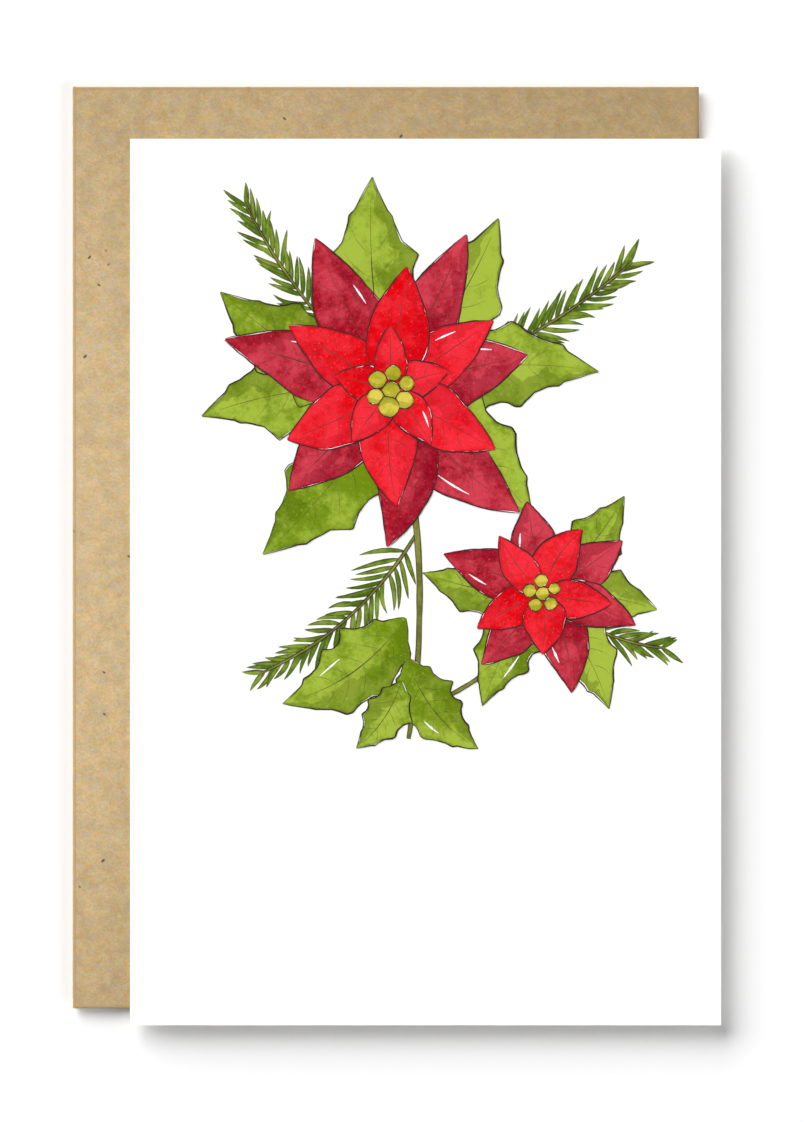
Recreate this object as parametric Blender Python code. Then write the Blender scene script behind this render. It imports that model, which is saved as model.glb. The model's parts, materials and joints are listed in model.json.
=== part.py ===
"""A folded greeting card lying on its kraft envelope, in metres, +Z up.

Each of the two is one sheet, creased and folded. Here a sheet is cut at its creases into
flat panels, so that each panel is one plain solid:

- the envelope lies face up; its two side flaps are folded into the pocket at the short
  edges, its back panel is folded round the left long edge and glued over them, and its
  seal flap is folded beneath, hinged on the right long edge;
- the card lies closed on the envelope's face, its cover hinged on the spine at the left.

The origin is under the middle of the whole outline, on the surface that it lies on.
The seal flap and the cover have their origins on their hinge axes, which run along Y.
"""

import math

import bmesh
import bpy

MM = 0.001

# Sheets and the clearance between neighbouring sheets
PAPER = 0.2 * MM
STOCK = 0.4 * MM
GAP = 0.3 * MM

# The flat outlines, closed, and how the card lies on the envelope
ENVELOPE_WIDTH = 107.95 * MM
ENVELOPE_HEIGHT = 158.75 * MM
CARD_WIDTH = 101.6 * MM
CARD_HEIGHT = 152.4 * MM
CARD_FROM_LEFT = 10.0 * MM
CARD_FROM_TOP = 9.1 * MM

# The envelope's hidden flaps
BACK_EDGE_INSET = 0.8 * MM
THROAT_FROM_RIGHT = 14.0 * MM
THROAT_CORNER = 5.0 * MM
SIDE_FLAP_DEPTH = 19.0 * MM
SIDE_FLAP_END_INSET = 1.0 * MM
SIDE_FLAP_FOLD_TAPER = 6.0 * MM
SIDE_FLAP_MOUTH_TAPER = 12.0 * MM
SIDE_FLAP_CORNER = 4.0 * MM
SEAL_FLAP_DEPTH = 56.0 * MM
SEAL_FLAP_END_INSET = 1.0 * MM
SEAL_FLAP_TAPER = 13.0 * MM
SEAL_FLAP_CORNER = 9.0 * MM

CORNER_STEPS = 8
FOLD_STEPS = 12

# How high the underside of each layer lies, from the surface up
SEAL_FLAP_Z = 0.0
BACK_Z = SEAL_FLAP_Z + PAPER + GAP
SIDE_FLAP_Z = BACK_Z + PAPER + GAP
FACE_Z = SIDE_FLAP_Z + PAPER + GAP
FACE_TOP = FACE_Z + PAPER
CARD_BACK_Z = FACE_TOP + GAP
CARD_FRONT_Z = CARD_BACK_Z + STOCK + GAP
CARD_TOP = CARD_FRONT_Z + STOCK

# The outlines' edges: the card passes the envelope at the right and at the bottom
LEFT = -(CARD_FROM_LEFT + CARD_WIDTH) / 2
TOP = (CARD_FROM_TOP + CARD_HEIGHT) / 2
RIGHT = LEFT + ENVELOPE_WIDTH
BOTTOM = TOP - ENVELOPE_HEIGHT
CARD_LEFT = LEFT + CARD_FROM_LEFT
CARD_RIGHT = CARD_LEFT + CARD_WIDTH
CARD_TOP_EDGE = TOP - CARD_FROM_TOP
CARD_BOTTOM_EDGE = CARD_TOP_EDGE - CARD_HEIGHT

# A fold is as round as the layers that it joins are apart
LONG_FOLD_RADIUS = (FACE_TOP - BACK_Z) / 2
SIDE_FOLD_RADIUS = (FACE_TOP - SIDE_FLAP_Z) / 2
SEAL_FOLD_RADIUS = (FACE_TOP - SEAL_FLAP_Z) / 2
SPINE_RADIUS = (CARD_TOP - CARD_BACK_Z) / 2

# Hinge axes, (x, z), with the sheets on each side held half a gap off them
SEAL_AXIS = (RIGHT - SEAL_FOLD_RADIUS, SEAL_FLAP_Z + SEAL_FOLD_RADIUS)
SPINE_AXIS = (CARD_LEFT + SPINE_RADIUS, CARD_BACK_Z + SPINE_RADIUS)
FACE_RIGHT = SEAL_AXIS[0] - GAP / 2
PANEL_LEFT = SPINE_AXIS[0] + GAP / 2
FACE_LEFT = LEFT + LONG_FOLD_RADIUS + GAP

KRAFT = (0.57, 0.41, 0.24)
KRAFT_FOLD = (0.60, 0.44, 0.27)
WHITE_STOCK = (0.93, 0.93, 0.92)


def material(name, colour, roughness):
    """A Principled BSDF with no metal in it."""
    made = bpy.data.materials.new(name)
    made.use_nodes = True
    shader = made.node_tree.nodes["Principled BSDF"]
    shader.inputs["Base Color"].default_value = (*colour, 1.0)
    shader.inputs["Roughness"].default_value = roughness
    shader.inputs["Metallic"].default_value = 0.0
    made.diffuse_color = (*colour, 1.0)
    return made


def rounded(corners, radius):
    """The outline through corners, given anticlockwise, each turned with an arc.

    radius has one value a corner; 0 leaves the corner sharp. An arc starts where the way
    in has radius * tan(half the turn) to go, and its centre lies to the left of it.
    """
    outline = []
    for index, (x, y) in enumerate(corners):
        if not radius[index]:
            outline.append((x, y))
            continue
        before = corners[index - 1]
        after = corners[(index + 1) % len(corners)]
        way_in = math.atan2(y - before[1], x - before[0])
        way_out = math.atan2(after[1] - y, after[0] - x)
        turn = (way_out - way_in) % math.tau
        back = radius[index] * math.tan(turn / 2)
        centre_x = x - back * math.cos(way_in) - radius[index] * math.sin(way_in)
        centre_y = y - back * math.sin(way_in) + radius[index] * math.cos(way_in)
        for step in range(CORNER_STEPS + 1):
            angle = way_in - math.pi / 2 + turn * step / CORNER_STEPS
            outline.append((centre_x + radius[index] * math.cos(angle),
                            centre_y + radius[index] * math.sin(angle)))
    return outline


def prism(name, outline, extrusion, colour, roughness, origin=(0, 0, 0)):
    """A closed solid: outline, a ring of (x, y, z), carried along the extrusion vector.

    The mesh is kept about origin, where the object is placed.
    """
    mesh = bpy.data.meshes.new(name)
    shape = bmesh.new()
    ring = [shape.verts.new([point[axis] - origin[axis] for axis in range(3)]) for point in outline]
    cap = shape.faces.new(ring)
    grown = bmesh.ops.extrude_face_region(shape, geom=[cap])["geom"]
    raised = [item for item in grown if isinstance(item, bmesh.types.BMVert)]
    bmesh.ops.translate(shape, verts=raised, vec=extrusion)
    bmesh.ops.recalc_face_normals(shape, faces=shape.faces)
    shape.to_mesh(mesh)
    shape.free()
    mesh.materials.append(material(name, colour, roughness))
    made = bpy.data.objects.new(name, mesh)
    made.location = origin
    bpy.context.collection.objects.link(made)
    return made


def sheet(name, outline, z, thickness, colour, roughness, origin=(0, 0, 0)):
    """A flat panel: a plan outline of (x, y) with its underside at z."""
    ring = [(x, y, z) for x, y in outline]
    return prism(name, ring, (0, 0, thickness), colour, roughness, origin)


def half_round(centre, radius, facing):
    """The section of a fold: a half disc on centre, its round side towards facing."""
    start = facing - math.pi / 2
    angles = [start + math.pi * step / FOLD_STEPS for step in range(FOLD_STEPS + 1)]
    return [(centre[0] + radius * math.cos(angle), centre[1] + radius * math.sin(angle))
            for angle in angles]


def rectangle(left, bottom, right, top):
    return [(left, bottom), (right, bottom), (right, top), (left, top)]


def envelope_panels():
    """The face and the back panel that make the pocket, open at the right."""
    fold_in = SIDE_FOLD_RADIUS + GAP
    face = rectangle(FACE_LEFT, BOTTOM + fold_in, FACE_RIGHT, TOP - fold_in)
    sheet("envelope_face_panel", face, FACE_Z, PAPER, KRAFT, 0.85)
    back = rectangle(FACE_LEFT, BOTTOM + BACK_EDGE_INSET,
                     RIGHT - THROAT_FROM_RIGHT, TOP - BACK_EDGE_INSET)
    back = rounded(back, (0, THROAT_CORNER, THROAT_CORNER, 0))
    sheet("envelope_back_panel", back, BACK_Z, PAPER, KRAFT, 0.85)


def side_flap(name, edge, inwards):
    """A flap folded into the pocket from a short edge; inwards is +1 or -1 along Y.

    Its outline is drawn from the edge inwards, and then laid from that edge.
    """
    left = FACE_LEFT + SIDE_FLAP_END_INSET
    right = FACE_RIGHT - SIDE_FLAP_END_INSET
    root = SIDE_FOLD_RADIUS + GAP
    corners = [(left, root), (right, root),
               (right - SIDE_FLAP_MOUTH_TAPER, SIDE_FLAP_DEPTH),
               (left + SIDE_FLAP_FOLD_TAPER, SIDE_FLAP_DEPTH)]
    outline = rounded(corners, (0, 0, SIDE_FLAP_CORNER, SIDE_FLAP_CORNER))
    laid = [(x, edge + inwards * depth) for x, depth in outline]
    sheet(name, laid, SIDE_FLAP_Z, PAPER, KRAFT, 0.85)


def envelope_folds():
    """The three creases that never open: solid half rounds along the pocket's edges."""
    section = half_round((LEFT + LONG_FOLD_RADIUS, BACK_Z + LONG_FOLD_RADIUS),
                         LONG_FOLD_RADIUS, math.pi)
    ring = [(x, BOTTOM, z) for x, z in section]
    prism("envelope_long_fold", ring, (0, ENVELOPE_HEIGHT, 0), KRAFT_FOLD, 0.8)
    along = (FACE_RIGHT - FACE_LEFT, 0, 0)
    for name, edge, inwards in (("envelope_top_fold", TOP, -1), ("envelope_bottom_fold", BOTTOM, 1)):
        centre = (edge + inwards * SIDE_FOLD_RADIUS, SIDE_FLAP_Z + SIDE_FOLD_RADIUS)
        facing = 0 if inwards < 0 else math.pi
        section = half_round(centre, SIDE_FOLD_RADIUS, facing)
        ring = [(FACE_LEFT, y, z) for y, z in section]
        prism(name, ring, along, KRAFT_FOLD, 0.8)


def seal_flap():
    """The flap folded beneath, its origin on the crease along the right long edge."""
    far = FACE_RIGHT - SEAL_FLAP_DEPTH
    low = BOTTOM + SEAL_FLAP_END_INSET
    high = TOP - SEAL_FLAP_END_INSET
    corners = [(FACE_RIGHT, low), (FACE_RIGHT, high),
               (far, high - SEAL_FLAP_TAPER), (far, low + SEAL_FLAP_TAPER)]
    outline = rounded(corners, (0, 0, SEAL_FLAP_CORNER, SEAL_FLAP_CORNER))
    hinge = (SEAL_AXIS[0], (BOTTOM + TOP) / 2, SEAL_AXIS[1])
    sheet("envelope_seal_flap", outline, SEAL_FLAP_Z, PAPER, KRAFT, 0.85, hinge)


def card_panels():
    """The card's back, which lies on the envelope, and its cover, hinged at the spine."""
    panel = rectangle(PANEL_LEFT, CARD_BOTTOM_EDGE, CARD_RIGHT, CARD_TOP_EDGE)
    sheet("card_back_panel", panel, CARD_BACK_Z, STOCK, WHITE_STOCK, 0.6)
    hinge = (SPINE_AXIS[0], (CARD_BOTTOM_EDGE + CARD_TOP_EDGE) / 2, SPINE_AXIS[1])
    sheet("card_front_panel", panel, CARD_FRONT_Z, STOCK, WHITE_STOCK, 0.6, hinge)


for leftover in list(bpy.data.objects):
    bpy.data.objects.remove(leftover, do_unlink=True)

envelope_panels()
side_flap("envelope_side_flap_top", TOP, -1)
side_flap("envelope_side_flap_bottom", BOTTOM, 1)
envelope_folds()
seal_flap()
card_panels()
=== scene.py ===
"""A greeting card on its kraft envelope: paper, creases, gum and a pen-and-wash print.

Every sheet is a grid of points carried along a folded path and given the sheet's
thickness. The print is a spray of poinsettia and fir, each leaf a grid of its own laid
on the cover a hundredth of a millimetre over the one beneath it, and drawn round in pen.
"""

import json
import math

import bpy
import numpy as np
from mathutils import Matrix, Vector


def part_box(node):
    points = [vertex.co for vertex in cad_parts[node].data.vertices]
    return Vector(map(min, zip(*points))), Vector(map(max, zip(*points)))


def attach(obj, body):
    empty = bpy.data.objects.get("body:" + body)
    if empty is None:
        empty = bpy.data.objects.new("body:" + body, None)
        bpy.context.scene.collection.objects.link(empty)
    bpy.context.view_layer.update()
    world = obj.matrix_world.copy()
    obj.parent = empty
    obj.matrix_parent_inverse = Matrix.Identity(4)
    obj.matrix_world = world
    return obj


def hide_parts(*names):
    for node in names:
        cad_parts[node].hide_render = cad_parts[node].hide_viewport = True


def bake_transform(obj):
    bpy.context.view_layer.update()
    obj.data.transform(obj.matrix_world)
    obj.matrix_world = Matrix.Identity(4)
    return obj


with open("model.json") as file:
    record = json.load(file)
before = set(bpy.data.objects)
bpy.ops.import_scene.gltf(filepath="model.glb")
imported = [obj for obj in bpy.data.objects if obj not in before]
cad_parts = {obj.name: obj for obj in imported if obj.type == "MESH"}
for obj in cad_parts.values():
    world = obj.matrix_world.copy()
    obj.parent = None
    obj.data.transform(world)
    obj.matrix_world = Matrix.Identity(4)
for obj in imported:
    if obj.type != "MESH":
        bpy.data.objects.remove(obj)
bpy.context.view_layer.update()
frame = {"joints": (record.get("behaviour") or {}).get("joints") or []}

MM = 0.001
ROOT = "envelope_and_card_back"
COVER = "card_cover"
FLAP = "seal_flap"
HINGES = {joint["name"]: np.array(joint["pos_m"]) for joint in frame["joints"]}

FOLD_STEPS = 18
FLAP_STEPS = 14
CORNER_STEPS = 9
PRESSED = 0.42
CREASE = 0.4 * MM


def box(node):
    """A node's lowest and highest corners, as arrays."""
    low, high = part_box(node)
    return np.array(low), np.array(high)


# ---------------------------------------------------------------- colours and nodes


def tint(red, green, blue):
    """A colour given as it looks on a screen, 0 to 255, in the renderer's linear numbers."""
    share = np.array([red, green, blue]) / 255
    linear = np.where(share <= 0.04045, share / 12.92, ((share + 0.055) / 1.055) ** 2.4)
    return (*(float(value) for value in linear), 1.0)


class Nodes:
    """Short ways to add and join the nodes of one material or group."""

    def __init__(self, tree):
        self.tree = tree

    def add(self, kind, settings=None, **sockets):
        """A node of a kind; sockets are by name, with _ for a space, values or outputs."""
        made = self.tree.nodes.new("ShaderNode" + kind)
        for name, value in (settings or {}).items():
            setattr(made, name, value)
        for name, value in sockets.items():
            self.put(made.inputs[name.replace("_", " ")], value)
        return made

    def put(self, socket, value):
        if isinstance(value, bpy.types.NodeSocket):
            self.tree.links.new(value, socket)
        elif value is not None:
            socket.default_value = value

    def sum(self, operation, *values):
        made = self.add("Math", {"operation": operation})
        for socket, value in zip(made.inputs, values):
            self.put(socket, value)
        return made.outputs[0]

    def mix(self, factor, first, second, blend="MIX"):
        made = self.add("Mix", {"data_type": "RGBA", "blend_type": blend})
        for index, value in ((0, factor), (6, first), (7, second)):
            self.put(made.inputs[index], value)
        return made.outputs[2]

    def ramp(self, value, low, high, start=0.0, end=1.0):
        """value between low and high, eased, as start to end."""
        made = self.add("MapRange", {"interpolation_type": "SMOOTHSTEP"}, Value=value)
        for name, number in (("From Min", low), ("From Max", high), ("To Min", start), ("To Max", end)):
            self.put(made.inputs[name], number)
        return made.outputs[0]

    def noise(self, vector, scale, detail=2.0, roughness=0.5):
        made = self.add("TexNoise", Vector=vector, Scale=scale, Detail=detail, Roughness=roughness)
        return made.outputs[0]

    def attribute(self, name):
        return self.add("Attribute", {"attribute_name": name}).outputs["Fac"]


def group(name, inputs, outputs, fill):
    """A shader node group: inputs as (name, type, default), outputs as (name, type).

    fill(nodes, into) draws its nodes and returns what each output gives.
    """
    tree = bpy.data.node_groups.new(name, "ShaderNodeTree")
    for label, kind, default in inputs:
        socket = tree.interface.new_socket(label, in_out="INPUT", socket_type="NodeSocket" + kind)
        socket.default_value = default
    for label, kind in outputs:
        tree.interface.new_socket(label, in_out="OUTPUT", socket_type="NodeSocket" + kind)
    nodes = Nodes(tree)
    into = tree.nodes.new("NodeGroupInput")
    out = tree.nodes.new("NodeGroupOutput")
    for label, value in fill(nodes, into.outputs).items():
        nodes.put(out.inputs[label], value)
    return tree


def paper_fibres(nodes, into):
    """Matted pulp: clouds, a fine grain, and short fibres lying three ways across the sheet.

    A fibre is noise on coordinates squeezed four to one along one way, cut off above a
    threshold, so that only its crests are left as thin streaks.
    """
    place = nodes.add("TexCoord").outputs["Object"]
    clouds = nodes.noise(place, 420.0, 3.0, 0.6)
    grain = nodes.noise(place, 2600.0, 3.0, 0.65)
    streaks = None
    for turn in (0.45, 1.25, 2.4):
        turned = nodes.add("VectorRotate", {"rotation_type": "Z_AXIS"}, Vector=place, Angle=turn)
        laid = nodes.add("Mapping", Vector=turned.outputs[0], Scale=(900.0, 3800.0, 900.0))
        crest = nodes.ramp(nodes.noise(laid.outputs[0], 1.0, 1.0), 0.62, 0.76)
        streaks = crest if streaks is None else nodes.sum("MAXIMUM", streaks, crest)
    height = nodes.sum("ADD", nodes.sum("MULTIPLY", grain, 0.6), nodes.sum("MULTIPLY", streaks, 0.4))
    return {"Clouds": clouds, "Grain": grain, "Fibres": streaks, "Height": height}


FIBRES = group("paper_fibres", [], [("Clouds", "Float"), ("Grain", "Float"), ("Fibres", "Float"),
                                    ("Height", "Float")], paper_fibres)


# Each kind of fleck: how fine it is, the noise where it starts and is full, its share, its colour.
FLECKS = (
    (2200.0, 0.45, 0.65, 0.84, tint(213, 168, 95)),
    (2700.0, 0.47, 0.67, 0.84, tint(181, 176, 156)),
    (3300.0, 0.48, 0.68, 0.70, tint(219, 183, 165)),
    (2500.0, 0.48, 0.66, 0.74, tint(202, 190, 119)),
    (560.0, 0.50, 0.66, 0.34, tint(212, 172, 112)),
    (430.0, 0.50, 0.66, 0.32, tint(190, 176, 148)),
)
# Each kind of speck: how far its cells are turned, how many lie in a metre, and its colour.
SPECKS = ((0.6, 400.0, tint(86, 56, 38)), (2.3, 340.0, tint(54, 56, 62)))
# Painted light and shade on the kraft: brightest at this spot by the long fold, darkening towards these
# shares far off.
PAINTED_LIGHT_SPOT = (-0.053, 0.002, 0.0)
PAINTED_SHADE_FAR = (0.69, 0.67, 0.61, 1.0)
# How far the folds turn to the second colour: partly wear, partly painted shade.
WORN_AND_SHADED_SHARE = 0.6


def kraft_pulp(nodes, into):
    """Unbleached pulp: a tan mottled with ochre, grey, pink and olive flecks, and dark specks.

    Each fleck colour is laid in by its own noise, and a speck is the middle of one cell
    of a pattern in a few. The whole is multiplied by clouds, and by painted shade: a share
    that falls from 1 to the deepest share with the distance from the palest spot, by the
    middle of the long fold. By its first input and a share it turns to its second input's
    colour: on the folds that is partly wear and partly painted shade.
    """
    fibres = nodes.add("Group", {"node_tree": FIBRES}).outputs
    place = nodes.add("TexCoord").outputs["Object"]
    colour = nodes.mix(nodes.ramp(fibres["Grain"], 0.30, 0.70), tint(194, 164, 122), tint(213, 189, 152))
    for number, (scale, low, high, share, fleck) in enumerate(FLECKS):
        moved = nodes.add("Mapping", Vector=place, Location=(0.31 * number, 0.17, 0.05),
                          Scale=(0.7, 1.0, 1.0))
        laid = nodes.ramp(nodes.noise(moved.outputs[0], scale, 2.0, 0.6), low, high, 0.0, share)
        colour = nodes.mix(laid, colour, fleck)
    colour = nodes.mix(nodes.sum("MULTIPLY", fibres["Fibres"], 0.34), colour, tint(190, 146, 92))
    for turn, scale, dark in SPECKS:
        turned = nodes.add("VectorRotate", {"rotation_type": "Z_AXIS"}, Vector=place, Angle=turn)
        laid = nodes.add("Mapping", Vector=turned.outputs[0], Scale=(0.55, 1.0, 1.0))
        cells = nodes.add("TexVoronoi", Vector=laid.outputs[0], Scale=scale)
        chosen = nodes.sum("GREATER_THAN", nodes.noise(cells.outputs["Position"], 900.0), 0.55)
        near = nodes.ramp(cells.outputs["Distance"], 0.05, 0.10, 0.85, 0.0)
        colour = nodes.mix(nodes.sum("MULTIPLY", chosen, near), colour, dark)
    # Painted shade: the kraft is multiplied down with the distance from its brightest spot.
    reach = nodes.add("VectorMath", {"operation": "DISTANCE"})
    nodes.put(reach.inputs[0], place)
    nodes.put(reach.inputs[1], PAINTED_LIGHT_SPOT)
    far = nodes.ramp(reach.outputs["Value"], 0.02, 0.125)
    clouds = nodes.ramp(fibres["Clouds"], 0.3, 0.7, 0.87, 1.03)
    scaled = nodes.add("VectorMath", {"operation": "SCALE"}, Scale=clouds)
    nodes.put(scaled.inputs[0], nodes.mix(far, colour, PAINTED_SHADE_FAR, "MULTIPLY"))
    # Wear and painted shade: the kraft turns to the second colour where it is creased.
    worn_and_shaded = nodes.sum("MULTIPLY", into["Wear"], WORN_AND_SHADED_SHARE)
    colour = nodes.mix(worn_and_shaded, scaled.outputs[0], into["Worn"])
    rough = nodes.ramp(fibres["Grain"], 0.2, 0.8, 0.80, 0.95)
    return {"Color": colour, "Roughness": rough, "Height": fibres["Height"]}


KRAFT = group("kraft_pulp", [("Wear", "Float", 0.0), ("Worn", "Color", (1.0, 1.0, 1.0, 1.0))],
              [("Color", "Color"), ("Roughness", "Float"), ("Height", "Float")], kraft_pulp)


def brushed_wash(nodes, into):
    """Watercolour as it dries: blotches, granules, a darker rim and a second coat.

    How deep the colour is at a point sums the shape's own tone, two noises and the way
    along the leaf. The rim is where the edge of the wash is under half a millimetre
    off. The second coat lies over one side of the midrib, up to a wavering line.
    """
    fibres = nodes.add("Group", {"node_tree": FIBRES}).outputs
    place = nodes.add("TexCoord").outputs["Object"]
    blotch = nodes.ramp(nodes.noise(place, 210.0, 3.0, 0.6), 0.32, 0.68)
    granules = nodes.ramp(nodes.noise(place, 1400.0, 3.0, 0.7), 0.32, 0.70)
    depth = nodes.sum("MULTIPLY", blotch, 0.62)
    depth = nodes.sum("ADD", depth, nodes.sum("MULTIPLY", granules, 0.30))
    depth = nodes.sum("ADD", depth, nodes.sum("MULTIPLY", nodes.attribute("tone"), 0.25))
    base = nodes.ramp(nodes.attribute("along"), 0.05, 0.75, 0.35, -0.12)
    depth = nodes.sum("ADD", depth, nodes.sum("MULTIPLY", base, into["Base"]))
    depth = nodes.ramp(depth, 0.0, 1.0)
    colour = nodes.mix(depth, into["Light"], into["Deep"])
    waver = nodes.ramp(nodes.noise(place, 260.0), 0.3, 0.7, -0.3, 0.3)
    line = nodes.sum("ADD", nodes.attribute("across"), waver)
    coat = nodes.sum("MULTIPLY", nodes.ramp(line, 0.30, 0.40), into["Coat"])
    colour = nodes.mix(coat, colour, into["Rim"])
    edge = nodes.ramp(nodes.attribute("rim"), 0.0, 0.50, 0.85, 0.0)
    edge = nodes.sum("MULTIPLY", edge, nodes.ramp(nodes.noise(place, 420.0), 0.35, 0.6, 0.15, 1.0))
    colour = nodes.mix(edge, colour, into["Rim"])
    lifted = nodes.ramp(nodes.noise(place, 2300.0, 2.0, 0.6), 0.60, 0.74, 0.0, 0.35)
    colour = nodes.mix(lifted, colour, into["Lift"])
    rough = nodes.ramp(granules, 0.0, 1.0, 0.74, 0.88)
    return {"Color": colour, "Roughness": rough, "Height": fibres["Height"]}


WASH = group("brushed_wash",
             [(name, "Color", (1.0, 1.0, 1.0, 1.0)) for name in ("Light", "Deep", "Rim", "Lift")]
             + [("Base", "Float", 0.0), ("Coat", "Float", 0.0)],
             [("Color", "Color"), ("Roughness", "Float"), ("Height", "Float")], brushed_wash)


def finish(name, bump, specular):
    """A bare material: its nodes, its shader's sockets and a Bump of that depth in metres."""
    made = bpy.data.materials.new(name)
    made.use_nodes = True
    nodes = Nodes(made.node_tree)
    shader = made.node_tree.nodes["Principled BSDF"]
    shader.inputs["Specular IOR Level"].default_value = specular
    relief = nodes.add("Bump", Strength=1.0, Distance=bump)
    nodes.put(shader.inputs["Normal"], relief.outputs[0])
    return made, nodes, shader.inputs, relief.inputs["Height"]


def kraft(name, wear_and_shade, worn_and_shaded):
    """Kraft paper that turns to a second colour where it is creased, or all over by a share; on the folds
    that colour is darker, partly wear and partly painted shade.
    """
    made, nodes, shader, relief = finish(name, 0.03 * MM, 0.2)
    pulp = nodes.add("Group", {"node_tree": KRAFT}, Worn=worn_and_shaded)
    nodes.put(pulp.inputs["Wear"], nodes.attribute("crease") if wear_and_shade is None else wear_and_shade)
    nodes.put(shader["Base Color"], pulp.outputs["Color"])
    nodes.put(shader["Roughness"], pulp.outputs["Roughness"])
    nodes.put(relief, pulp.outputs["Height"])
    return made


def card_stock(name, bright, shade, bump):
    """White stock: two near whites that the pulp's clouds run between, greyer at the fold, partly wear and
    partly painted shade.
    """
    made, nodes, shader, relief = finish(name, bump, 0.35)
    fibres = nodes.add("Group", {"node_tree": FIBRES}).outputs
    colour = nodes.mix(nodes.ramp(fibres["Clouds"], 0.3, 0.7), shade, bright)
    cracks = nodes.ramp(fibres["Grain"], 0.3, 0.7, 0.6, 1.0)
    # Wear and painted shade: the fold greys towards an off-white.
    worn_and_shaded = nodes.sum("MULTIPLY", nodes.attribute("crease"), cracks)
    nodes.put(shader["Base Color"], nodes.mix(worn_and_shaded, colour, tint(232, 231, 228)))
    nodes.put(shader["Roughness"], nodes.ramp(fibres["Grain"], 0.2, 0.8, 0.52, 0.64))
    nodes.put(relief, fibres["Height"])
    return made


def wash(name, colours, base, coat):
    """A watercolour wash, printed on the stock."""
    made, nodes, shader, relief = finish(name, 0.005 * MM, 0.03)
    light, deep, rim, lift = (tint(*colour) for colour in colours)
    paint = nodes.add("Group", {"node_tree": WASH}, Light=light, Deep=deep, Rim=rim, Lift=lift,
                      Base=base, Coat=coat)
    nodes.put(shader["Base Color"], paint.outputs["Color"])
    nodes.put(shader["Roughness"], paint.outputs["Roughness"])
    nodes.put(relief, paint.outputs["Height"])
    return made


def one_colour(name, colour, bump, low, high):
    """Ink, or stock left bare: one colour, with the paper's grain in its gloss and relief."""
    made, nodes, shader, relief = finish(name, bump, 0.08)
    fibres = nodes.add("Group", {"node_tree": FIBRES}).outputs
    shader["Base Color"].default_value = colour
    nodes.put(shader["Roughness"], nodes.ramp(fibres["Grain"], 0.2, 0.8, low, high))
    nodes.put(relief, fibres["Grain"])
    return made


def dried_gum(name):
    """Water-activated gum: a thin amber gloss over the kraft, crazed and uneven."""
    made, nodes, shader, relief = finish(name, 0.02 * MM, 0.5)
    pulp = nodes.add("Group", {"node_tree": KRAFT}).outputs
    place = nodes.add("TexCoord").outputs["Object"]
    pools = nodes.ramp(nodes.noise(place, 240.0, 3.0), 0.35, 0.65)
    colour = nodes.mix(nodes.sum("MULTIPLY", pools, 0.5), pulp["Color"], tint(190, 152, 102))
    nodes.put(shader["Base Color"], colour)
    nodes.put(shader["Roughness"], nodes.ramp(pools, 0.0, 1.0, 0.34, 0.2))
    nodes.put(relief, nodes.sum("ADD", pools, nodes.sum("MULTIPLY", pulp["Height"], 0.3)))
    return made


# On the sheet the crease colour is darker than the kraft: wear, and painted shade over the folds' rims.
KRAFT_SHEET = kraft("kraft_paper", None, tint(168, 141, 103))
KRAFT_CUT = kraft("kraft_cut_edge", 1.0, tint(214, 190, 152))
STOCK = card_stock("white_card_stock", tint(249, 249, 248), tint(247, 247, 246), 0.006 * MM)
# Painted shade: the cut edges are greyed well below the stock, so they read as shaded and throw less light
# onto the kraft.
STOCK_CUT = card_stock("card_cut_edge", tint(212, 210, 204), tint(190, 188, 182), 0.05 * MM)
GUM = dried_gum("dried_gum")
# Each wash: its light, deep, rim and lifted colours, its depth at the base and its second coat.
WASHES = {
    "red": ("scarlet_wash", ((234, 44, 58), (216, 0, 10), (182, 0, 24), (244, 96, 104)), 0.7, 0.30),
    "crimson": ("crimson_wash", ((202, 62, 78), (152, 4, 28), (126, 4, 30), (212, 104, 114)), 0.9, 0.40),
    "green": ("leaf_green_wash", ((160, 182, 62), (106, 134, 14), (82, 102, 10), (178, 196, 100)), 0.9, 0.45),
    "fir": ("fir_green_wash", ((136, 158, 58), (78, 108, 24), (60, 86, 16), (150, 168, 88)), 0.6, 0.3),
    "gold": ("gold_green_wash", ((216, 200, 78), (164, 160, 34), (126, 128, 24), (232, 222, 120)), 0.0, 0.45),
    "stem": ("stem_wash", ((138, 142, 64), (102, 108, 38), (84, 80, 34), (160, 162, 96)), 0.0, 0.0),
}
PAINTS = {
    "bare": one_colour("bare_stock", tint(248, 248, 247), 0.006 * MM, 0.6, 0.75),
    **{key: wash(*values) for key, values in WASHES.items()},
    "ink": one_colour("brown_black_ink", tint(56, 40, 38), 0.004 * MM, 0.55, 0.75),
    "fine_ink": one_colour("fine_brown_ink", tint(84, 58, 50), 0.004 * MM, 0.55, 0.75),
}


# ---------------------------------------------------------------- meshes


def shell(upper, lower, outer):
    """Two grids (rows, columns, 3) of one layout, joined round their rim into a closed skin.

    Returns points, quads and, for each quad, whether it is on the rim. outer says
    that the grids' rows crossed with their columns point from lower to upper.
    """
    rows, columns = upper.shape[:2]
    count = rows * columns
    index = np.arange(count).reshape(rows, columns)
    quads = np.stack([index[:-1, :-1], index[1:, :-1], index[1:, 1:], index[:-1, 1:]], -1).reshape(-1, 4)
    rim = np.concatenate([index[:, 0], index[-1, 1:], index[-2::-1, -1], index[0, -2:0:-1]])
    after = np.roll(rim, -1)
    walls = np.stack([after, rim, rim + count, after + count], -1)
    faces = np.concatenate([quads, quads[:, ::-1] + count, walls])
    on_rim = np.arange(len(faces)) >= 2 * len(quads)
    points = np.concatenate([upper.reshape(-1, 3), lower.reshape(-1, 3)])
    return points, faces if outer else faces[:, ::-1], on_rim


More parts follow.
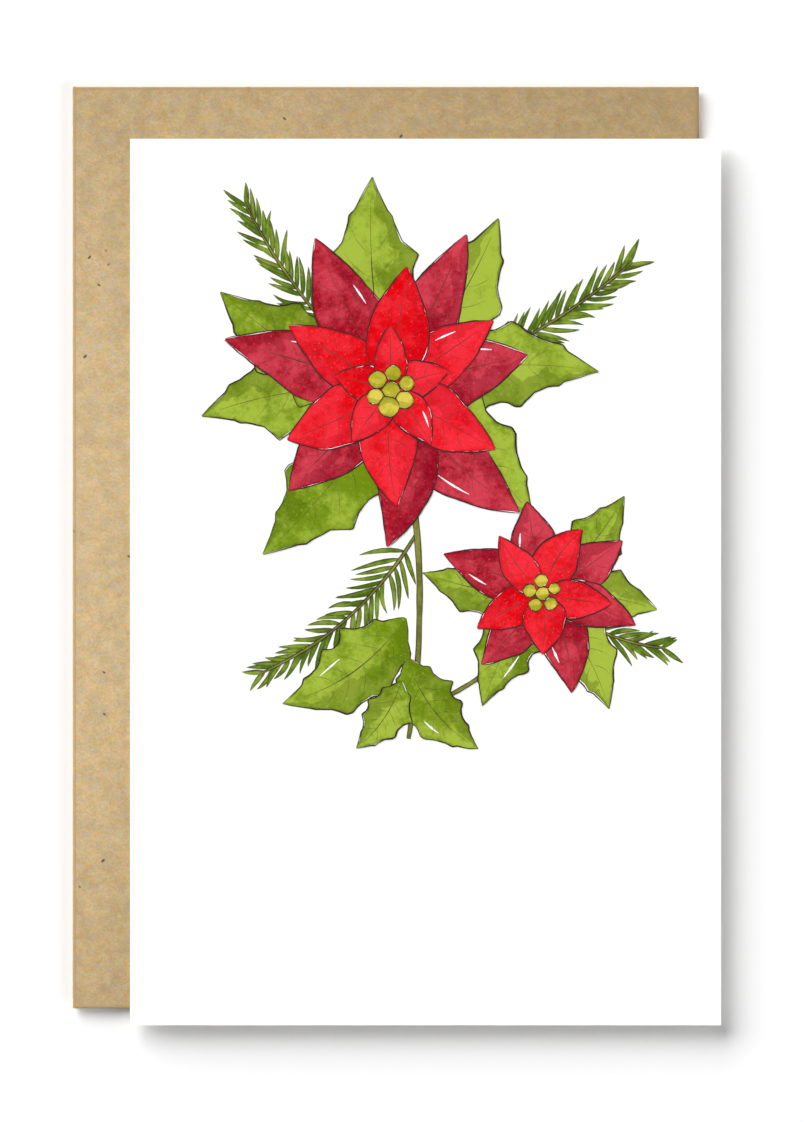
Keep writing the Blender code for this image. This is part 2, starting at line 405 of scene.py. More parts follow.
def mesh_object(name, points, faces, materials, slots, attributes):
    """A mesh from arrays: points, quads, a material index a face and values a point."""
    mesh = bpy.data.meshes.new(name)
    mesh.from_pydata(points, [], faces)
    for made in materials:
        mesh.materials.append(made)
    mesh.polygons.foreach_set("material_index", slots.astype(np.int32))
    for label, values in attributes.items():
        layer = mesh.attributes.new(label, "FLOAT", "POINT")
        layer.data.foreach_set("value", values.astype(np.float32))
    mesh.shade_smooth()
    mesh.set_sharp_from_angle(angle=math.radians(30))
    mesh.update()
    made = bpy.data.objects.new(name, mesh)
    bpy.context.scene.collection.objects.link(made)
    return made


def straight(start, end, steps, outward):
    """A straight piece of a path, with one outward angle throughout.

    Its points are even, with one more near each end, where the crease beside it has faded.
    """
    start, end = np.array(start), np.array(end)
    near = CREASE / np.linalg.norm(end - start)
    t = np.sort(np.append(np.linspace(0, 1, steps + 1), (near, 1 - near)))[:, None]
    return start * (1 - t) + end * t, np.full(len(t), outward)


def arc(centre, radius, start, end, square=1.0):
    """A fold: a superellipse about centre, x = cos^square and z = sin^square, signs kept.

    At 1 it is round; below 1 it is a fold pressed flat. Its outward way is the
    superellipse's own normal, (cos^(2 - square), sin^(2 - square)).
    """
    angle = np.linspace(start, end, FOLD_STEPS + 1)
    way = np.round(np.stack([np.cos(angle), np.sin(angle)], 1), 12)
    points = np.array(centre) + radius * np.sign(way) * np.abs(way) ** square
    outward = np.sign(way) * np.abs(way) ** (2 - square)
    facing = np.unwrap(np.arctan2(outward[:, 1], outward[:, 0]))
    return points, facing + start - facing[0]


def joined(*pieces):
    """Pieces of a path end to end, each meeting point kept once."""
    points = np.concatenate([piece[0][1 if number else 0:] for number, piece in enumerate(pieces)])
    angles = np.concatenate([piece[1][1 if number else 0:] for number, piece in enumerate(pieces)])
    return points, angles


def distance_along(path):
    """How far each point of a path is from its start, along it."""
    return np.concatenate([[0], np.cumsum(np.linalg.norm(np.diff(path, axis=0), axis=1))])


def folded_sheet(name, path, plane, first, last, thickness, materials, columns):
    """A sheet of paper carried along a path.

    path lies in a plane with +Z: plane is 0 for X and Z, 1 for Y and Z. At each point
    of it the sheet spans from first to last across that plane, with even columns. Its
    two sides are half the thickness to each side of the path, along the outward angle.
    crease is 1 where the path turns and fades to 0 beside it.
    """
    points, angles = path
    share = np.linspace(0, 1, columns + 1)
    across = first[:, None] * (1 - share) + last[:, None] * share
    middle = np.zeros((len(points), columns + 1, 3))
    middle[:, :, plane] = points[:, :1]
    middle[:, :, 1 - plane] = across
    middle[:, :, 2] = points[:, 1:]
    outward = np.zeros((len(points), 1, 3))
    outward[:, 0, plane] = np.cos(angles)
    outward[:, 0, 2] = np.sin(angles)
    down_path = np.gradient(points, axis=0)
    turning = down_path[:, 0] * np.sin(angles) - down_path[:, 1] * np.cos(angles)
    outer = (turning.sum() < 0) == (plane == 0)
    shift = outward * thickness / 2
    skin, faces, on_rim = shell(middle + shift, middle - shift, outer)
    run = distance_along(points)
    bent = run[np.abs(np.gradient(angles)) > 1e-6]
    away = np.abs(run[:, None] - bent[None]).min(1) if len(bent) else np.full(len(run), 1.0)
    crease = np.clip(1 - away / CREASE, 0, 1)[:, None] * np.ones(columns + 1)
    return mesh_object(name, skin, faces, materials, on_rim.astype(int),
                       {"crease": np.tile(crease.ravel(), 2)})


def eased_corner(left, radius):
    """How far a rounded corner draws a side in, where left is still to go to the end."""
    into = np.clip(radius - left, 0, radius)
    return radius - np.sqrt(radius ** 2 - into ** 2)


def tail(start, end, radius):
    """Stations along a flap from start to end, closer together by its crease and last corner."""
    way = math.copysign(1.0, end - start)
    bend = radius * (1 - np.sin(np.linspace(0, math.pi / 2, CORNER_STEPS + 1)))
    plain = np.linspace(start, end - way * radius, FLAP_STEPS)
    return np.concatenate([[start, start + way * CREASE], plain[1:-1], end - way * bend])


# ---------------------------------------------------------------- the envelope

FACE_LOW, FACE_HIGH = box("envelope_face_panel")
BACK_LOW, BACK_HIGH = box("envelope_back_panel")
LONG_LOW, LONG_HIGH = box("envelope_long_fold")
SIDE_LOW, SIDE_HIGH = box("envelope_side_flap_top")
SEAL_LOW, SEAL_HIGH = box("envelope_seal_flap")
PAPER = FACE_HIGH[2] - FACE_LOW[2]
FACE_MID = (FACE_LOW[2] + FACE_HIGH[2]) / 2
BOTTOM, TOP = LONG_LOW[1], LONG_HIGH[1]
FACE_LEFT = LONG_HIGH[0]
SEAL_X, SEAL_Z = HINGES["seal_flap_hinge"][[0, 2]]
SHEET = (KRAFT_SHEET, KRAFT_CUT)
SHEET_COLUMNS = 40
FACE_STEPS = 40

# A side flap steps in past its fold, over the length SHOULDER, and then tapers: how far it does
# each is given for its left and its right end.
SHOULDER = 0.8 * MM
FLAP_STEP = (1.3 * MM, 1.15 * MM)
FLAP_TAPER = (6.0 * MM, 12.0 * MM)
FLAP_CORNER = 4.0 * MM
BACK_CORNER = 5.0 * MM
SEAL_CORNER = 9.0 * MM
SEAL_TAPER = 13.0 * MM
SEAL_PRESSED = 0.6
GUM_FILM = 0.02 * MM
GUM_INSET = 3.0 * MM
GUM_WAVER = 0.3 * MM
GUM_TURN = 7.0 * MM
GUM_CORNER = 2.0 * MM
GUM_START = SEAL_LOW[0] + 15.0 * MM
GUM_END = SEAL_LOW[0] + 2.5 * MM


def envelope_face():
    """The path of the envelope's face and of the side flaps folded in under its short edges.

    It is the section along Y: out along the bottom flap to its fold, over the face, and
    round the top fold in along the top flap. With it come the folds' radius and the flaps'
    depth.
    """
    side_z = (SIDE_LOW[2] + SIDE_HIGH[2]) / 2
    fold = (FACE_HIGH[2] - SIDE_LOW[2]) / 2
    centre_z = SIDE_LOW[2] + fold
    depth = TOP - SIDE_LOW[1]
    low_y, high_y = BOTTOM + fold, TOP - fold
    inward = tail(fold, depth, FLAP_CORNER)
    level = np.full_like(inward, side_z)
    foot = np.stack([BOTTOM + inward, level], 1)[::-1]
    head = np.stack([TOP - inward, level], 1)
    down, up = -math.pi * 0.5, -math.pi * 1.5
    path = joined((foot, np.full(len(foot), down)),
                  arc((low_y, centre_z), fold - PAPER / 2, down, up, PRESSED),
                  straight((low_y, FACE_MID), (high_y, FACE_MID), FACE_STEPS, up),
                  arc((high_y, centre_z), fold - PAPER / 2, up, down - math.tau, PRESSED),
                  (head, np.full(len(head), down - math.tau)))
    return path, fold, depth


def side_flap_ends(path, fold, depth):
    """Where the face and its side flaps start and end along X, for each point of the path.

    A flap steps in past its fold, tapers with its depth and has round last corners.
    """
    y, z = path[0].T
    inside = np.where(z < (SIDE_HIGH[2] + FACE_LOW[2]) / 2, np.minimum(y - BOTTOM, TOP - y), 0.0)
    step = np.clip((inside - fold) / SHOULDER, 0, 1)
    taper = np.clip((inside - fold) / (depth - fold), 0, 1)
    rounding = np.where(inside > 0, eased_corner(depth - inside, FLAP_CORNER), 0.0)
    first = FACE_LEFT + step * FLAP_STEP[0] + taper * FLAP_TAPER[0] + rounding
    last = SEAL_X - step * FLAP_STEP[1] - taper * FLAP_TAPER[1] - rounding
    return first, last


def envelope_front_sheet():
    """The face and the two side flaps, in one sheet."""
    path, fold, depth = envelope_face()
    first, last = side_flap_ends(path, fold, depth)
    envelope_front = folded_sheet("envelope_face_and_side_flaps", path, 1, first, last, PAPER,
                                  SHEET, SHEET_COLUMNS)
    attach(envelope_front, ROOT)
    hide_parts("envelope_face_panel", "envelope_side_flap_top", "envelope_side_flap_bottom",
                "envelope_top_fold", "envelope_bottom_fold")


def envelope_back_sheet():
    """The back panel: round the left long edge from the face, and flat to the throat."""
    fold = (FACE_HIGH[2] - BACK_LOW[2]) / 2
    back_z = (BACK_LOW[2] + BACK_HIGH[2]) / 2
    stations = tail(FACE_LEFT, BACK_HIGH[0], BACK_CORNER)
    flat = np.stack([stations, np.full_like(stations, back_z)], 1)
    up, down = math.pi * 0.5, math.pi * 1.5
    path = joined(arc((FACE_LEFT, BACK_LOW[2] + fold), fold - PAPER / 2, up, down, PRESSED),
                  (flat, np.full(len(flat), down)))
    x, z = path[0].T
    flat_share = np.clip((x - FACE_LEFT) / (2 * MM), 0, 1) * (z < FACE_LOW[2])
    inset = flat_share * (BACK_LOW[1] - BOTTOM) + eased_corner(BACK_HIGH[0] - x, BACK_CORNER)
    sheet = folded_sheet("envelope_back_and_long_fold", path, 0, BOTTOM + inset, TOP - inset, PAPER,
                         SHEET, SHEET_COLUMNS)
    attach(sheet, ROOT)
    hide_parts("envelope_back_panel", "envelope_long_fold")


def seal_flap_reach(x):
    """How far the seal flap's ends are drawn in from the envelope's, at x along it."""
    length = SEAL_HIGH[0] - SEAL_LOW[0]
    share = np.clip((SEAL_HIGH[0] - x) / length, 0, 1)
    return SEAL_LOW[1] - BOTTOM + share * SEAL_TAPER + eased_corner(x - SEAL_LOW[0], SEAL_CORNER)


def seal_flap_sheet():
    """The seal flap: round the right long edge from the face, and back beneath.
    """
    up, down = math.pi * 0.5, -math.pi * 0.5
    stations = tail(SEAL_X, SEAL_LOW[0], SEAL_CORNER)
    flat = np.stack([stations, np.full_like(stations, PAPER / 2)], 1)
    path = joined(arc((SEAL_X, SEAL_Z), SEAL_Z - PAPER / 2, up, down, SEAL_PRESSED),
                  (flat, np.full(len(flat), down)))
    turned = np.clip((SEAL_Z - path[0][:, 1]) / (SEAL_Z - PAPER), 0, 1)
    inset = turned * seal_flap_reach(path[0][:, 0])
    sheet = folded_sheet("envelope_seal_flap_sheet", path, 0, BOTTOM + inset, TOP - inset, PAPER,
                         SHEET, SHEET_COLUMNS)
    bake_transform(sheet)
    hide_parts("envelope_seal_flap")


def gum_strip():
    """Dried gum along the seal flap's inside: a film a little in from its outer edge and ends.

    The film's own ends waver along a sine.
    """
    stations = tail(GUM_START, GUM_END, GUM_TURN)
    inset = seal_flap_reach(stations) + GUM_INSET + GUM_WAVER * np.sin(stations / MM * 1.7)
    inset += eased_corner(np.abs(stations - GUM_START), GUM_CORNER)
    flat = np.stack([stations, np.full_like(stations, PAPER + GUM_FILM / 2)], 1)
    made = folded_sheet("seal_flap_gum", (flat, np.full(len(flat), math.pi / 2)), 0,
                        BOTTOM + inset, TOP - inset, GUM_FILM, (GUM, GUM), 30)
    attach(made, FLAP)


envelope_front_sheet()
envelope_back_sheet()
seal_flap_sheet()
gum_strip()

# ---------------------------------------------------------------- the card

CARD_LOW, CARD_HIGH = box("card_back_panel")
COVER_LOW, COVER_HIGH = box("card_front_panel")
THICK = CARD_HIGH[2] - CARD_LOW[2]
SPINE_X, SPINE_Z = HINGES["cover_hinge"][[0, 2]]
CARD_STEPS = 30


def card_sheet():
    """The folded card: in along its back, round the spine and out along its cover.
    """
    back_z = (CARD_LOW[2] + CARD_HIGH[2]) / 2
    cover_z = (COVER_LOW[2] + COVER_HIGH[2]) / 2
    up, down = math.pi * 0.5, math.pi * 1.5
    path = joined(straight((CARD_HIGH[0], back_z), (SPINE_X, back_z), CARD_STEPS, down),
                  arc((SPINE_X, SPINE_Z), cover_z - SPINE_Z, down, up),
                  straight((SPINE_X, cover_z), (COVER_HIGH[0], cover_z), CARD_STEPS, up))
    ends = np.ones(len(path[0]))
    made = folded_sheet("folded_card", path, 0, CARD_LOW[1] * ends, CARD_HIGH[1] * ends, THICK,
                        (STOCK, STOCK_CUT), CARD_STEPS)
    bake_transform(made)
    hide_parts("card_back_panel", "card_front_panel")


card_sheet()

# ---------------------------------------------------------------- the print

COVER_MIDDLE = (CARD_LOW + CARD_HIGH) / 2
COVER_MIDDLE[0] = (SPINE_X - THICK + CARD_HIGH[0]) / 2
LIFT = 0.008 * MM
SINK = 0.006 * MM
# A pen stroke's height over its shape's wash, and the step from one stroke to the next, in lifts.
PEN_LIFT = 0.45
NEXT_LIFT = 0.02
WASH_VALUES = ("along", "across", "rim", "tone")
draw = np.random.default_rng(24)

# Lengths on the print are in millimetres from the cover's middle.
ROOM = 0.15
OUTLINE_STEP = 0.35
PEN_STEP = 0.4
PEN_WIDTH = {"outline": 0.22, "bud": 0.18, "midrib": 0.17, "stem": 0.15, "needle": 0.13, "vein": 0.10}
GLINT_WIDTH = 0.36
LEAF_COLUMNS = np.array([-1, -0.93, -0.8, -0.5, 0, 0.5, 0.8, 0.93, 1])
NEEDLE_COLUMNS = np.array([-1, 0, 1])
NEEDLE_WIDTH = 0.85
TWIG_WIDTH = 0.55
LEAF_ROWS = 44
LEAF_VEINS = 5
LARGE, SMALL = (-6.0, 33.0), (20.0, -2.0)
# Each twig: where it starts, its angle, length and bend, and its longest needles.
TWIGS = (
    (LARGE, 128, 41, 0.05, 8.5), (LARGE, 28, 47, -0.06, 8.5), (SMALL, -24, 23, -0.08, 7.5),
    ((-1.6, 8.4), 222, 36, 0.08, 7.5),
)
# Each stem: where it starts, its angle, length, bend and width.
STEMS = (((-5, 30), -88, 57, 0.05, 1.1), ((19, -4), -140, 27, 0.12, 0.8))
# Each green leaf: where it starts, its angle, length, width and bend.
LEAVES = {
    "printed_large_leaves": (
        (LARGE, 95, 37, 14, 0.04), (LARGE, 5, 36, 13, 0.07), (LARGE, 188, 33, 13, -0.06),
        (LARGE, 318, 33, 13, 0.05), (LARGE, 58, 35, 13, -0.05), (LARGE, 150, 34, 13, 0.06),
        (LARGE, 232, 36, 14, 0.05)),
    "printed_small_leaves": (
        (SMALL, 50, 22, 9, -0.05), (SMALL, -60, 23, 9.5, 0.06), (SMALL, 170, 21, 8, 0.05),
        (SMALL, -8, 20, 9, 0.05), (SMALL, -118, 22, 9, -0.05), ((-3.5, -6), 215, 26, 11, 0.10),
        ((-3.2, -13), -52, 20, 8.5, -0.10), ((-4.2, -17), 236, 14, 6.5, 0.08)),
}
# Each bloom: its middle, its turn, its tiers of bracts, and its buds' number and radius. A tier: its
# paint, its bracts' number, length and width, its own turn in radians, and each bract's side veins.
BLOOMS = {
    "printed_large_bloom": (LARGE, 12, (
        ("crimson", 7, 27.5, 12.0, 0.0, 6), ("red", 6, 20.5, 10.4, 0.35, 5),
        ("red", 5, 11.5, 6.2, 0.1, 3)), 7, 1.5),
    "printed_small_bloom": (SMALL, 40, (
        ("crimson", 6, 17.0, 8.4, 0.0, 4), ("red", 5, 12.0, 6.8, 0.3, 3)), 6, 1.15),
}


def wander(t, reach, waves):
    """A smooth random curve over t: sines of rising frequency and falling reach."""
    wave = np.arange(1, waves + 1)[:, None]
    swing = draw.normal(size=(waves, 1)) * reach / wave ** 0.7
    return (swing * np.sin(math.tau * (wave * t + draw.random((waves, 1))))).sum(0)


def left_of(path):
    """The unit vector to the left of a path, at each of its points."""
    way = np.gradient(path, axis=0)
    way /= np.maximum(np.linalg.norm(way, axis=1, keepdims=True), 1e-9)
    return np.stack([-way[:, 1], way[:, 0]], 1)


def bowed(base, angle, length, bend, t):
    """A parabola from base, aimed at angle and bowed to its left by bend of its length."""
    along = np.array([math.cos(angle), math.sin(angle)])
    across = np.array([-along[1], along[0]])
    return base + length * (np.outer(t, along) + np.outer(4 * bend * t * (1 - t), across))


def read_at(where, stations, values):
    """values (stations, 2) at where, along straight lines from one station to the next."""
    return np.stack([np.interp(where, stations, values[:, axis]) for axis in (0, 1)], -1)


def finer(path, step):
    """A path with points a step apart along it."""
    run = distance_along(path)
    stops = np.linspace(0, run[-1], max(int(run[-1] / step), 4) + 1)
    return read_at(stops, run, path)


def pen_line(path, width, taper, press=0.22):
    """A pen stroke as a ribbon (rows, 2, 2): its width swells and thins, and tapers off."""
    t = np.linspace(0, 1, len(path))
    ease = np.clip(np.minimum(t, 1 - t) / taper, 0.12, 1) ** 0.6
    wide = width * np.clip(1 + wander(t, press, 12), 0.35, 1.7) * ease
    side = left_of(path) * wide[:, None] / 2
    return np.stack([path - side, path + side], 1)


HALF_WIDTHS = {
    "bract": lambda t: np.sin(math.pi * t ** 0.78) ** 0.92,
    "lobed": lambda t: np.sin(math.pi * t ** 0.82),
    "round": lambda t: np.sqrt(np.maximum(1 - (2 * t - 1) ** 2, 0)),
    "needle": lambda t: np.sin(math.pi * t ** 0.7) ** 0.7,
}


def lobes(t, start):
    """The teeth of a lobed leaf: a saw's teeth with round valleys, none near the ends."""
    place = (t * 4.2 + start) % 1
    tooth = np.clip(1 - np.abs(place - 0.72) * 2.6, 0, 1) ** 1.5
    return 0.34 * tooth * ((t > 0.12) & (t < 0.83))


def leaf(paint, form, base, angle, length, width, bend, tone, rows=30, bare=0.07, hidden=0.28):
    """A leaf as a grid (rows, columns, 2) over its midrib.

    Half its width at t is its form's curve, rippled. The outermost columns are the
    leaf's outline and the next ones the edge of the wash, which strays from it by about
    bare. Columns within crowd towards the edges, where the colour gathers. whole and seen
    are its outline, ROOM larger: all of it, and from the share hidden of its length on.
    """
    ends = 0.002 if form == "round" else 0.006
    t = ends + (1 - 2 * ends) * (1 - np.cos(math.pi * np.linspace(0, 1, rows))) / 2
    rib = bowed(np.array(base, float), angle, length, bend, t)
    side = left_of(rib)
    half = width / 2 * HALF_WIDTHS[form](t)
    inner = NEEDLE_COLUMNS if form == "needle" else LEAF_COLUMNS
    edges, washes = [], []
    for hand in (-1, 1):
        ripple = 1 + wander(t, 0.03, 4)
        if form == "lobed":
            ripple = ripple + lobes(t, 0.2 * draw.random())
        reach = half * ripple
        stray = np.clip(bare + wander(t, 0.9 * bare, 7), 0.1 * bare, 3.5 * bare) * np.clip(reach / 0.8, 0, 1)
        edges.append(rib + hand * side * reach[:, None])
        washes.append(rib + hand * side * np.maximum(reach - stray, 0.3 * reach)[:, None])
    share = (inner + 1) / 2
    body = washes[0][:, None] * (1 - share)[None, :, None] + washes[1][:, None] * share[None, :, None]
    grid = np.concatenate([edges[0][:, None], body, edges[1][:, None]], 1) if bare else body
    rim = (1 - np.abs(inner))[None] * half[:, None]
    rim = np.minimum(rim, np.minimum(t, 1 - t)[:, None] * length)
    if bare:
        rim = np.pad(rim, ((0, 0), (1, 1)))
    rims = np.stack([edges[0] - side * ROOM, edges[1] + side * ROOM])
    whole, seen = (finer(np.concatenate([rims[0, t >= cut], rims[1, t >= cut][::-1]]), OUTLINE_STEP)
                   for cut in (0, hidden))
    across = np.pad(inner, 1, mode="edge") if bare else inner
    values = {"along": t[:, None] + 0 * rim, "across": draw.choice((-1, 1)) * across + 0 * rim,
              "rim": rim, "tone": tone + 0 * rim}
    return {"paint": paint, "tier": paint, "grid": grid, "values": values, "bare": bool(bare),
            "whole": whole, "seen": seen, "edges": edges, "t": t, "rib": rib, "side": side,
            "half": half, "pens": [], "glints": []}


def outlined(shape, width=PEN_WIDTH["outline"]):
    """Draws a leaf round: a stroke up each edge, shaking off it by a few hundredths."""
    for edge in shape["edges"]:
        line = finer(edge, PEN_STEP)
        shake = wander(np.linspace(0, 1, len(line)), 0.026, 20)
        shape["pens"].append(("ink", pen_line(line + left_of(line) * shake[:, None], width, 0.12, 0.16)))
    return shape


def veined(shape, veins):
    """Draws a leaf's midrib, and pairs of side veins that curve towards its tip."""
    t, rib, side, half = (shape[key] for key in ("t", "rib", "side", "half"))
    midrib = read_at(np.linspace(0.03, 0.9, 24), t, rib)
    shape["pens"].append(("fine_ink", pen_line(midrib, PEN_WIDTH["midrib"], 0.6)))
    for index in range(veins):
        start = 0.13 + 0.62 * (index + 0.3 * draw.random()) / veins
        for hand in (-1, 1):
            out = np.linspace(0.02, 0.70 + 0.12 * draw.random(), 8)
            where = start + 0.16 * out ** 1.3
            off = out * np.interp(where, t, half) * hand
            vein = read_at(where, t, rib) + read_at(where, t, side) * off[:, None]
            shape["pens"].append(("fine_ink", pen_line(vein, PEN_WIDTH["vein"], 0.9)))
    return shape


def glinting(shape):
    """Leaves a sliver of one leaf in three unpainted, along its left or right half."""
    if draw.random() > 0.34:
        return shape
    t = np.linspace(0.52, 0.62 + 0.14 * draw.random(), 7)
    hand = draw.choice((-0.6, 0.6))
    across = np.interp(t, shape["t"], shape["half"]) * hand
    middle = read_at(t, shape["t"], shape["rib"])
    side = read_at(t, shape["t"], shape["side"])
    shape["glints"].append(pen_line(middle + side * across[:, None], GLINT_WIDTH, 0.5, 0.1))
    return shape


def fir_twig(base, angle, length, bend, needle):
    """A twig: a bowed stem with needles in pairs, shorter and closer to it at its tip.

    The left side's needles are laid first, and of each side's every other one before the
    rest, so that few lie over one another.
    """
    t = np.linspace(0, 1, 30)
    stem = bowed(np.array(base, float), angle, length, bend, t)
    side = left_of(stem)
    pairs = round(0.6 * length)
    shapes = []
    turns = (*range(0, pairs, 2), *range(1, pairs, 2))
    for hand, number in ((hand, number) for hand in (1, -1) for number in turns):
        where = 0.10 + 0.88 * number / (pairs - 1)
        foot, left = read_at(where, t, stem), read_at(where, t, side)
        lean = hand * math.radians(50 - 26 * where + 4 * draw.normal())
        reach = needle * (1 - 0.45 * where) * (1 + 0.1 * draw.normal())
        made = leaf("fir", "needle", foot, math.atan2(-left[0], left[1]) + lean, reach, NEEDLE_WIDTH,
                    0.05 * draw.normal(), 0.6 * draw.normal(), rows=9, bare=0, hidden=0.1)
        if draw.random() < 0.55:
            made["pens"].append(("fine_ink", pen_line(made["edges"][0], PEN_WIDTH["needle"], 0.4)))
        shapes.append(made)
    return shapes + [stem_line(stem, TWIG_WIDTH)]


def stem_line(path, width):
    """A stem: a slim ribbon of wash between two pen strokes."""
    t = np.linspace(0, 1, len(path))
    wide = width * (1 - 0.35 * t)
    side = left_of(path)
    edges = [path - side * wide[:, None] / 2, path + side * wide[:, None] / 2]
    grid = np.stack([edges[0], path, edges[1]], 1)
    flat = np.zeros(grid.shape[:2])
    pens = [("ink", pen_line(edge + side * wander(t, 0.03, 6)[:, None], PEN_WIDTH["stem"], 0.05))
            for edge in edges]
    whole = finer(np.concatenate([edges[0] - side * ROOM, (edges[1] + side * ROOM)[::-1]]), OUTLINE_STEP)
    values = {"along": flat, "across": flat, "rim": flat + 0.3, "tone": flat}
    return {"paint": "stem", "tier": "stem", "grid": grid, "values": values, "bare": False,
            "whole": whole, "seen": whole, "pens": pens, "glints": []}


def bloom(centre, turn, tiers, bud_count, bud_radius):
    """A poinsettia: tiers of bracts round its centre, back to front, then its buds.

    In a tier every other bract is laid first, and the ones between lap over them.
    """
    shapes = []
    for tier, (paint, count, length, width, offset, veins) in enumerate(tiers):
        for index in (*range(0, count, 2), *range(1, count, 2)):
            angle = turn + offset + math.tau * index / count + 0.07 * draw.normal()
            made = leaf(paint, "bract", centre, angle, length * (1 + 0.06 * draw.normal()),
                        width * (1 + 0.05 * draw.normal()), 0.05 * draw.normal(), 0.5 * draw.normal())
            made["tier"] = tier
            shapes.append(glinting(veined(outlined(made), veins)))
    for index in (0, *range(1, bud_count, 2), *range(2, bud_count, 2)):
        around = math.tau * index / max(bud_count - 1, 1) + 0.4
        off = 1.95 * bud_radius if index else 0.0
        size = bud_radius * (1 + 0.08 * draw.normal())
        foot = (centre[0] + off * math.cos(around) - size, centre[1] + off * math.sin(around))
        made = leaf("gold", "round", foot, 0.0, 2 * size, 2 * size, 0.0, 0.5 * draw.normal(),
                    rows=16, hidden=0.0)
        shapes.append(outlined(made, PEN_WIDTH["bud"]))
    return shapes


def painted_spray():
    """The whole print, back to front, as named pieces: fir, stems, green leaves, two blooms."""
    twigs = []
    for base, angle, length, bend, needle in TWIGS:
        twigs += fir_twig(base, math.radians(angle), length, bend, needle)
    for base, angle, length, bend, width in STEMS:
        path = bowed(np.array(base, float), math.radians(angle), length, bend, np.linspace(0, 1, 80))
        twigs.append(stem_line(path, width))
    pieces = {"printed_fir_and_stems": twigs}
    for name, places in LEAVES.items():
        pieces[name] = []
        for base, angle, length, width, bend in places:
            made = leaf("green", "lobed", base, math.radians(angle), length, width, bend,
                        0.6 * draw.normal(), rows=LEAF_ROWS)
            pieces[name].append(glinting(veined(outlined(made), LEAF_VEINS)))
    for name, (centre, turn, tiers, bud_count, bud_radius) in BLOOMS.items():
        pieces[name] = bloom(centre, math.radians(turn), tiers, bud_count, bud_radius)
    return pieces


def inside(points, outline):
    """Which points lie in an outline: those with an odd number of its edges to their right."""
    start, end = outline, np.roll(outline, -1, axis=0)
    x, y = points[:, :1], points[:, 1:]
    spans = (start[:, 1] > y) != (end[:, 1] > y)
    rise = np.where(end[:, 1] == start[:, 1], 1e-12, end[:, 1] - start[:, 1])
    crossing = start[:, 0] + (y - start[:, 1]) * (end[:, 0] - start[:, 0]) / rise
    return (spans & (x < crossing)).sum(1) % 2 == 1


def stacked(shapes):
    """Gives each shape a level: one over the highest that it laps among those before it.

    Two of one tier meet at its middle, where the next tier hides them, so only what
    is seen of them counts.
    """
    spans = [(shape["whole"].min(0), shape["whole"].max(0)) for shape in shapes]
    for number, shape in enumerate(shapes):
        shape["level"] = 1
        low, high = spans[number]
        for under, (under_low, under_high) in zip(shapes[:number], spans):
            if under["level"] < shape["level"] or (under_low > high).any() or (under_high < low).any():
                continue
            part = "seen" if under["tier"] == shape["tier"] else "whole"
            if inside(under[part], shape[part]).any() or inside(shape[part], under[part]).any():
                shape["level"] = under["level"] + 1


def laid_film(grid, height):
    """A grid (rows, columns, 2) in millimetres on the cover, as a closed film of that height."""
    flat = np.pad(COVER_MIDDLE[:2] + grid * MM, ((0, 0), (0, 0), (0, 1)))
    down, across = flat[1, 0] - flat[0, 0], flat[0, -1] - flat[0, 0]
    upper = flat + (0, 0, COVER_HIGH[2] + height)
    lower = flat + (0, 0, COVER_HIGH[2] - SINK)
    return shell(upper, lower, down[0] * across[1] > down[1] * across[0])


def print_piece(name, shapes):
    """One piece of the print: every film, glint and pen stroke of some shapes in one mesh.

    Its map for baked colours lays it out as it lies on the cover.
    """
    names = list(PAINTS)
    parts = []
    for shape in shapes:
        height = shape["level"] * LIFT
        points, faces, on_rim = laid_film(shape["grid"], height)
        columns = shape["grid"].shape[1] - 1
        slots = np.full(len(faces), names.index(shape["paint"]))
        if shape["bare"]:
            column = np.where(on_rim, 0, np.arange(len(faces)) % columns)
            slots[(column == 0) | (column == columns - 1)] = names.index("bare")
        values = (np.tile(shape["values"][key].ravel(), 2) for key in WASH_VALUES)
        parts.append((points, faces, slots, *values))
        ribbons = [("bare", glint) for glint in shape["glints"]] + shape["pens"]
        for number, (paint, ribbon) in enumerate(ribbons):
            points, faces, _ = laid_film(ribbon, height + (PEN_LIFT + NEXT_LIFT * number) * LIFT)
            slots = np.full(len(faces), names.index(paint))
            parts.append((points, faces, slots, *np.zeros((len(WASH_VALUES), len(points)))))
    starts = np.concatenate([[0], np.cumsum([len(part[0]) for part in parts])[:-1]])
    faces = np.concatenate([part[1] + start for part, start in zip(parts, starts)])
    points, slots, *values = (np.concatenate([part[item] for part in parts]) for item in (0, 2, 3, 4, 5, 6))
    used, slots = np.unique(slots, return_inverse=True)
    made = mesh_object(name, points, faces, [PAINTS[names[item]] for item in used], slots,
                       dict(zip(WASH_VALUES, values)))
    low, high = points[:, :2].min(0), points[:, :2].max(0)
    spread = (points[faces.ravel(), :2] - low) / (high - low)
    made.data.uv_layers.new(name="OFBake").uv.foreach_set("vector", spread.astype(np.float32).ravel())
    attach(made, COVER)


spray = painted_spray()
stacked([shape for shapes in spray.values() for shape in shapes])
for piece_name, piece_shapes in spray.items():
    print_piece(piece_name, piece_shapes)

# ---------------------------------------------------------------- floor, light and camera

FLOOR_SIZE = 6.0
VIEW_HEIGHT = 193.215 * MM
VIEW_MIDDLE = (0.96 * MM, -0.94 * MM)
LENS = 150.0
SENSOR = 36.0


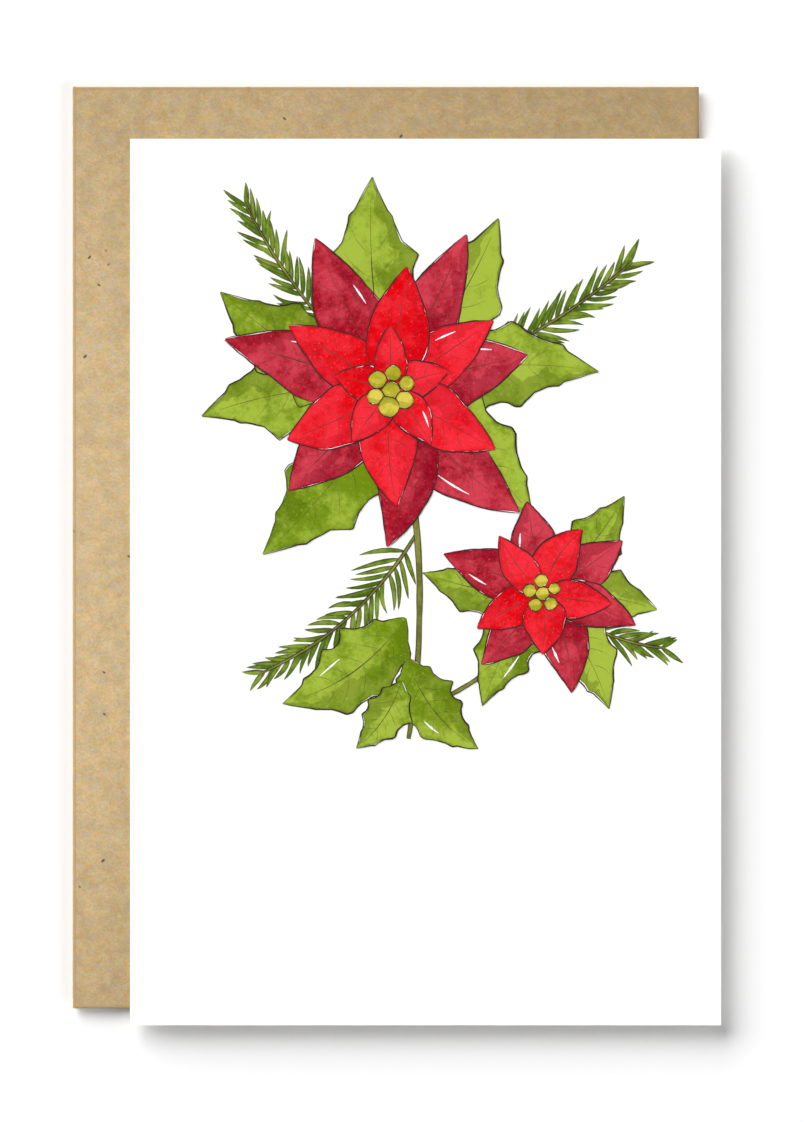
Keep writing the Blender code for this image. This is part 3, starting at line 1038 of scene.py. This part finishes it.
def floor():
    """A plain pale surface, under the envelope."""
    half = FLOOR_SIZE / 2
    corners = [(-half, -half, 0), (half, -half, 0), (half, half, 0), (-half, half, 0)]
    mesh = bpy.data.meshes.new("floor")
    mesh.from_pydata(corners, [], [(0, 1, 2, 3)])
    made = bpy.data.objects.new("floor", mesh)
    bpy.context.scene.collection.objects.link(made)
    plain = bpy.data.materials.new("pale_floor")
    plain.use_nodes = True
    shader = plain.node_tree.nodes["Principled BSDF"]
    shader.inputs["Base Color"].default_value = (0.95, 0.95, 0.95, 1)
    shader.inputs["Roughness"].default_value = 0.9
    shader.inputs["Specular IOR Level"].default_value = 0.1
    mesh.materials.append(plain)


def sun(name, strength, spread, azimuth, elevation):
    """A broad even light, its middle at azimuth (from +X, anticlockwise) and elevation."""
    light = bpy.data.lights.new(name, "SUN")
    light.energy = strength
    light.angle = math.radians(spread)
    made = bpy.data.objects.new(name, light)
    made.rotation_euler = (0, math.radians(90 - elevation), math.radians(azimuth))
    bpy.context.scene.collection.objects.link(made)


def surroundings(light, seen):
    """An even pale sky: how much it lights, and how bright the camera sees it."""
    world = bpy.data.worlds.new("studio")
    world.use_nodes = True
    nodes = Nodes(world.node_tree)
    background = world.node_tree.nodes["Background"]
    path = nodes.add("LightPath").outputs["Is Camera Ray"]
    nodes.put(background.inputs["Color"], nodes.mix(path, (light, light, light, 1), (seen, seen, seen, 1)))
    bpy.context.scene.world = world


def camera():
    """Straight down over the middle of the picture, its top towards +Y."""
    lens = bpy.data.cameras.new("camera")
    lens.lens = LENS
    lens.sensor_width = SENSOR
    made = bpy.data.objects.new("camera", lens)
    distance = VIEW_HEIGHT / SENSOR * LENS
    made.location = (*VIEW_MIDDLE, FACE_HIGH[2] + distance)
    bpy.context.scene.collection.objects.link(made)
    bpy.context.scene.camera = made


floor()
sun("key_light", strength=8.6, spread=75, azimuth=132, elevation=13)
sun("top_light", strength=0.3, spread=23, azimuth=83, elevation=84)
sun("fill_light", strength=2.9, spread=62, azimuth=331, elevation=13.5)
surroundings(light=0.03, seen=0.93)
camera()
bpy.context.scene.view_settings.view_transform = "Standard"
